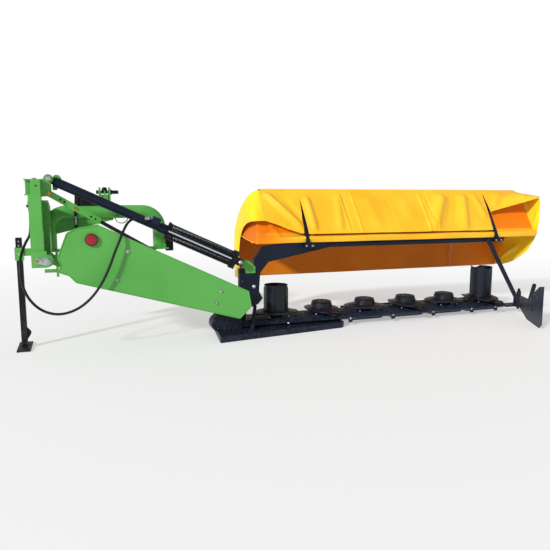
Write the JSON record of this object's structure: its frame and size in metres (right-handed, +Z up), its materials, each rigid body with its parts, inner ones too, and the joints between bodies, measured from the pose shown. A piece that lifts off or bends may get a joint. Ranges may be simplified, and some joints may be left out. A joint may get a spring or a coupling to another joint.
{
  "type": "disc mower",
  "caption": "Rear-mounted disc mower with a hitch headstock, lifting arm, belt guard, low cutterbar of spinning discs and a fabric safety canopy thrown open at the back.",
  "frame": {"origin": "on the floor under the middle of the machine's box, the hydraulic hose left out", "axes": "+X outboard along the row of discs, +Y forward towards the tractor, +Z up"},
  "size_m": [4.595, 1.3194, 1.226],
  "materials": {
    "green_paint": "gloss enamel",
    "dark_paint": "semi-gloss",
    "black_paint": "satin",
    "chrome": "polished",
    "bare_steel": "machined",
    "hose_rubber": "matte",
    "black_plastic": "matte",
    "red_plastic": "gloss",
    "yellow_cloth": "coated cloth"
  },
  "bodies": {
    "headstock": {"mast": "green_paint", "side_frame": "green_paint", "hitch_arch": "green_paint", "arch_gusset": "green_paint", "top_link_clevis": "green_paint", "lower_hitch_left": "dark_paint", "lower_hitch_right": "dark_paint", "cylinder_bracket": "green_paint", "pivot_bracket": "green_paint", "stand_sleeve": "green_paint", "hose_holder": "black_plastic", "hose_coupler": "bare_steel", "hydraulic_hose": "hose_rubber"},
    "parking_stand": {"stand_leg": "dark_paint"},
    "swing_arm": {"carrier_beam": "dark_paint", "belt_guard": "green_paint", "belt_back_plate": "green_paint", "pto_housing": "dark_paint", "reflector": "red_plastic"},
    "input_shaft": {"pto_shaft": "bare_steel"},
    "relief_link": {"link_channel": "green_paint"},
    "relief_spring": {"link_spring": "dark_paint"},
    "lift_barrel": {"cylinder_barrel": "dark_paint"},
    "lift_rod": {"cylinder_rod": "chrome", "side_springs": "dark_paint"},
    "mowing_unit": {"cutterbar": "dark_paint", "skid_shoes": "dark_paint", "inner_shoe": "dark_paint", "tilt_gearbox": "dark_paint", "inner_post": "dark_paint", "lift_bracket": "green_paint", "canopy_boom": "black_paint", "outer_support_arm": "black_paint", "outer_bracket": "dark_paint", "canopy_struts": "black_paint", "front_bar": "black_paint", "front_top_sheet": "yellow_cloth", "front_curtain": "yellow_cloth", "inner_end_curtain": "yellow_cloth", "outer_end_curtain": "yellow_cloth"},
    "folding_frame": {"fold_arm_inner": "black_paint", "fold_arm_outer": "black_paint", "top_bar": "black_paint", "fold_sheet": "yellow_cloth"},
    "hanging_curtain": {"rear_curtain": "yellow_cloth"},
    "rotor_1": {"disc_1": "dark_paint", "drum_inner": "dark_paint"},
    "rotor_2": {"disc_2": "dark_paint"},
    "rotor_3": {"disc_3": "dark_paint"},
    "rotor_4": {"disc_4": "dark_paint"},
    "rotor_5": {"disc_5": "dark_paint"},
    "rotor_6": {"disc_6": "dark_paint", "drum_outer": "dark_paint"},
    "swath_guide": {"swath_board": "dark_paint"}
  },
  "joints": [
    {"name": "stand_slide", "type": "slide", "parent": "headstock", "child": "parking_stand", "axis": [0, 0, 1], "range_m": [0, 0.3]},
    {"name": "arm_lift", "type": "hinge", "parent": "headstock", "child": "swing_arm", "pos_m": [-2.0625, 0.04974, 0.645], "axis": [0, -1, 0], "range_deg": [-6, 36]},
    {"name": "bar_tilt", "type": "hinge", "parent": "swing_arm", "child": "mowing_unit", "pos_m": [-0.7675, 0.06974, 0.29], "axis": [0, -1, 0], "range_deg": [-12, 52]},
    {"name": "pto_spin", "type": "hinge", "parent": "swing_arm", "child": "input_shaft", "pos_m": [-1.6725, 0.14974, 0.66], "axis": [0, 1, 0], "continuous": true},
    {"name": "cylinder_swing", "type": "hinge", "parent": "headstock", "child": "lift_barrel", "pos_m": [-2.0325, 0.04974, 1.195], "axis": [0, -1, 0], "range_deg": [-5.83, 33.99], "deforming": ["hydraulic_hose"]},
    {"name": "rod_slide", "type": "slide", "parent": "lift_barrel", "child": "lift_rod", "axis": [0.9081, 0, -0.4188], "range_m": [-0.3398, 0.0583]},
    {"name": "link_swing", "type": "hinge", "parent": "headstock", "child": "relief_link", "pos_m": [-2.0325, 0.04174, 1.096], "axis": [0, -1, 0], "range_deg": [-5.41, 31.47]},
    {"name": "link_extend", "type": "slide", "parent": "relief_link", "child": "relief_spring", "axis": [0.8572, 0, -0.515], "range_m": [-0.2727, 0.0471]},
    {"name": "canopy_fold", "type": "hinge", "parent": "mowing_unit", "child": "folding_frame", "pos_m": [0.8575, 0.05474, 0.68], "axis": [1, 0, 0], "range_deg": [0, 121]},
    {"name": "curtain_hang", "type": "hinge", "parent": "folding_frame", "child": "hanging_curtain", "pos_m": [0.8575, 0.31974, 1.12], "axis": [1, 0, 0], "range_deg": [-90.5, 0.2]},
    {"name": "swath_swing", "type": "hinge", "parent": "mowing_unit", "child": "swath_guide", "pos_m": [1.9875, -0.04026, 0.15], "axis": [0, 0, 1], "range_deg": [-10, 28]},
    {"name": "disc_spin_1", "type": "hinge", "parent": "mowing_unit", "child": "rotor_1", "pos_m": [-0.3425, 0.14974, 0.12], "axis": [0, 0, 1], "continuous": true},
    {"name": "disc_spin_2", "type": "hinge", "parent": "mowing_unit", "child": "rotor_2", "pos_m": [0.0675, 0.14974, 0.12], "axis": [0, 0, 1], "continuous": true},
    {"name": "disc_spin_3", "type": "hinge", "parent": "mowing_unit", "child": "rotor_3", "pos_m": [0.4775, 0.14974, 0.12], "axis": [0, 0, 1], "continuous": true},
    {"name": "disc_spin_4", "type": "hinge", "parent": "mowing_unit", "child": "rotor_4", "pos_m": [0.8875, 0.14974, 0.12], "axis": [0, 0, 1], "continuous": true},
    {"name": "disc_spin_5", "type": "hinge", "parent": "mowing_unit", "child": "rotor_5", "pos_m": [1.2975, 0.14974, 0.12], "axis": [0, 0, 1], "continuous": true},
    {"name": "disc_spin_6", "type": "hinge", "parent": "mowing_unit", "child": "rotor_6", "pos_m": [1.7075, 0.14974, 0.12], "axis": [0, 0, 1], "continuous": true}
  ],
  "couplings": [
    {"joint": "cylinder_swing", "follows": "arm_lift", "ratio": 0.9387},
    {"joint": "rod_slide", "follows": "arm_lift", "m_per_rad": -0.5377},
    {"joint": "link_swing", "follows": "arm_lift", "ratio": 0.8685},
    {"joint": "link_extend", "follows": "arm_lift", "m_per_rad": -0.4308},
    {"joint": "curtain_hang", "follows": "canopy_fold", "ratio": -0.7438},
    {"joint": "disc_spin_2", "follows": "disc_spin_1", "ratio": -1},
    {"joint": "disc_spin_3", "follows": "disc_spin_1", "ratio": 1},
    {"joint": "disc_spin_4", "follows": "disc_spin_1", "ratio": -1},
    {"joint": "disc_spin_5", "follows": "disc_spin_1", "ratio": 1},
    {"joint": "disc_spin_6", "follows": "disc_spin_1", "ratio": -1}
  ]
}
